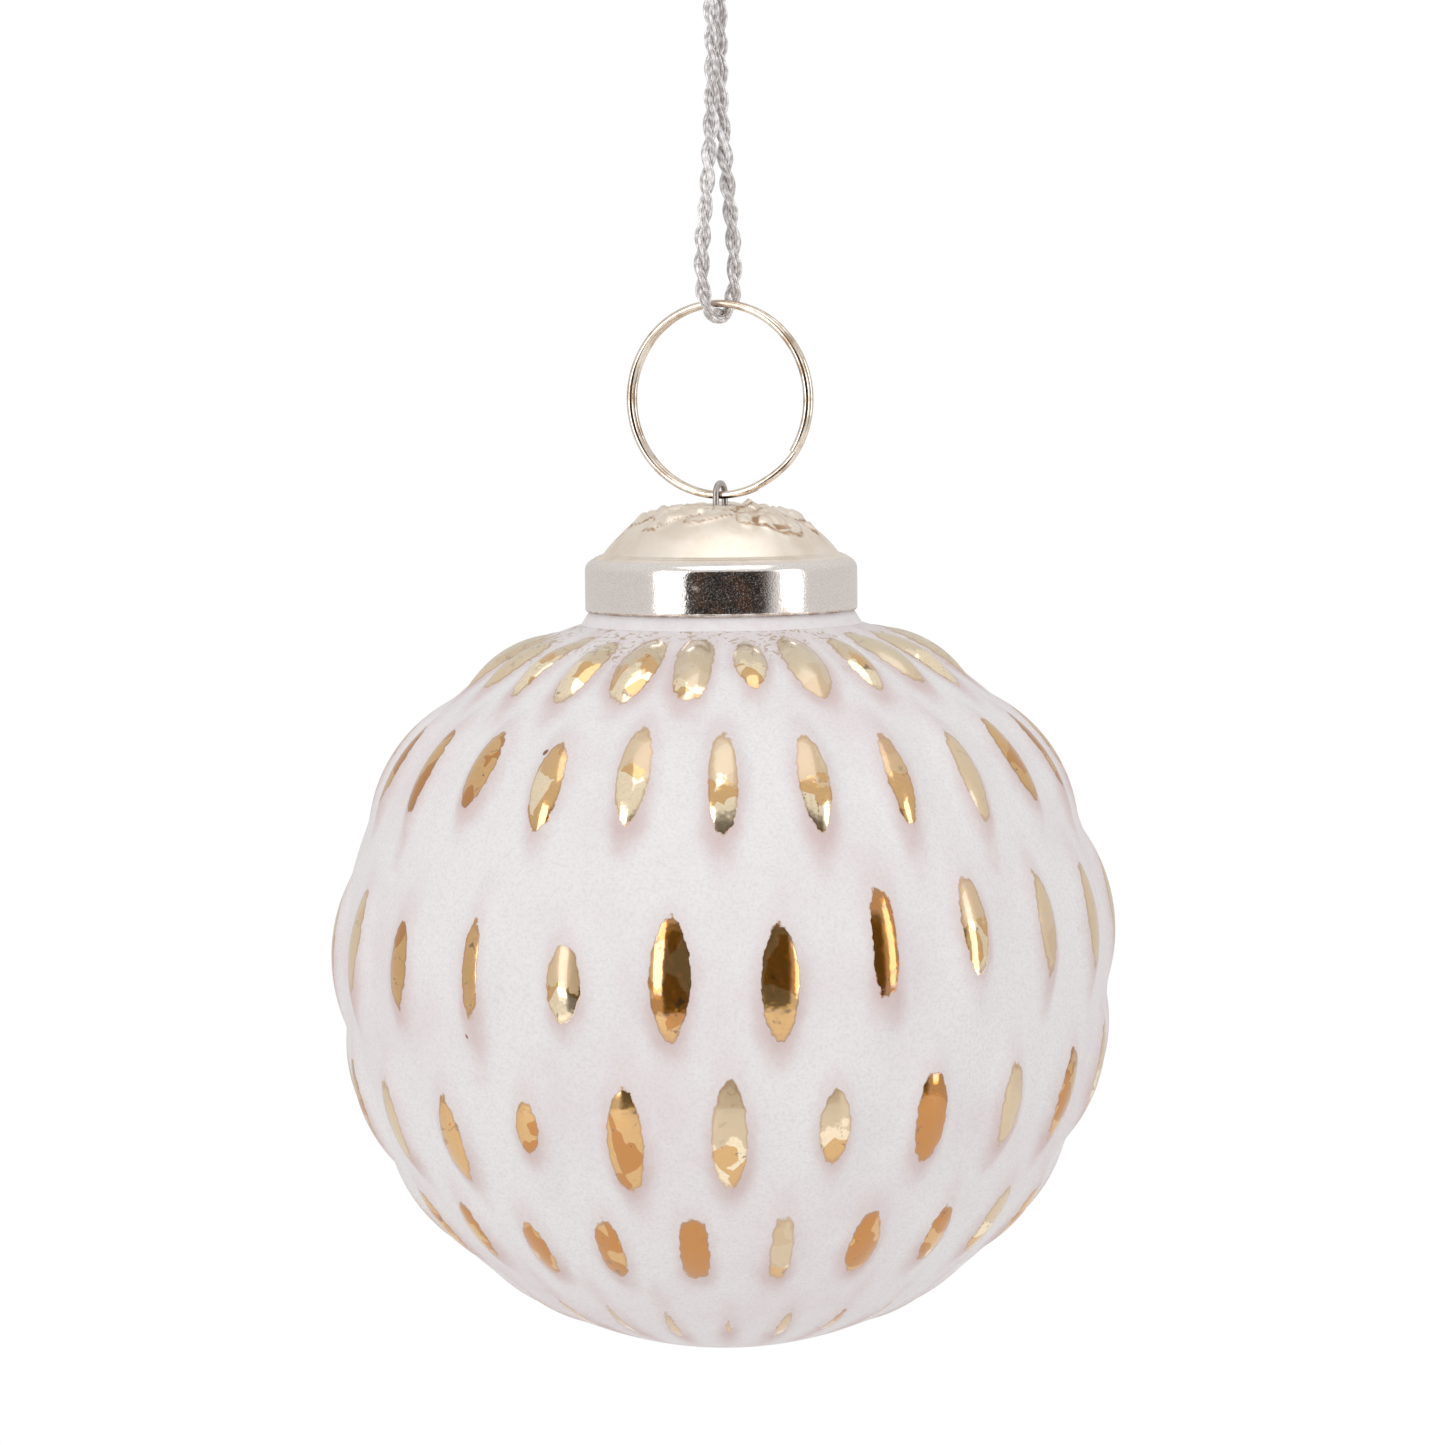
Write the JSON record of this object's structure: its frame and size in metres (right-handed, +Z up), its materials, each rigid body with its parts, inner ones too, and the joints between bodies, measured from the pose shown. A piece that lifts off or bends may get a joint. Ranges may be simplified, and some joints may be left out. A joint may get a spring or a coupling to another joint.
{
  "type": "hanging glass ball ornament",
  "caption": "Glass ball with rows of raised almond bosses, a stamped metal cap and wire eye, hung from a split ring on a twisted cord loop.",
  "frame": {"origin": "hanging point: the underside of the cord's knot, where the loop hangs on a hook", "axes": "+Z up along the cord, +Y through the split ring's hole, +X across the ring"},
  "size_m": [0.0995, 0.0996, 0.1964],
  "materials": {
    "glass_ball": "matte white coat rubbed off the crests over gold-lined glass",
    "cap": "polished, tarnished in the creases",
    "cap_cement": "matte plaster",
    "wire_eye": "satin wire",
    "split_ring": "polished",
    "cord": "twisted metallic yarn"
  },
  "bodies": {
    "cord": {"hanging_cord": "cord", "cord_knot": "cord"},
    "ring": {"split_ring": "split_ring"},
    "eye": {"wire_eye": "wire_eye"},
    "ball": {"glass_ball": "glass_ball", "cap": "cap", "cap_cement": "cap_cement"}
  },
  "joints": [
    {"name": "ring_swing", "type": "hinge", "parent": "cord", "child": "ring", "pos_m": [0, 0, -0.0529], "axis": [0, 1, 0], "range_deg": [-60, 60]},
    {"name": "eye_tilt", "type": "hinge", "parent": "ring", "child": "eye", "pos_m": [0, 0, -0.07537], "axis": [1, 0, 0], "range_deg": [-75, 75]},
    {"name": "ball_spin", "type": "hinge", "parent": "eye", "child": "ball", "pos_m": [0, 0, -0.07644], "axis": [0, 0, 1], "continuous": true}
  ]
}
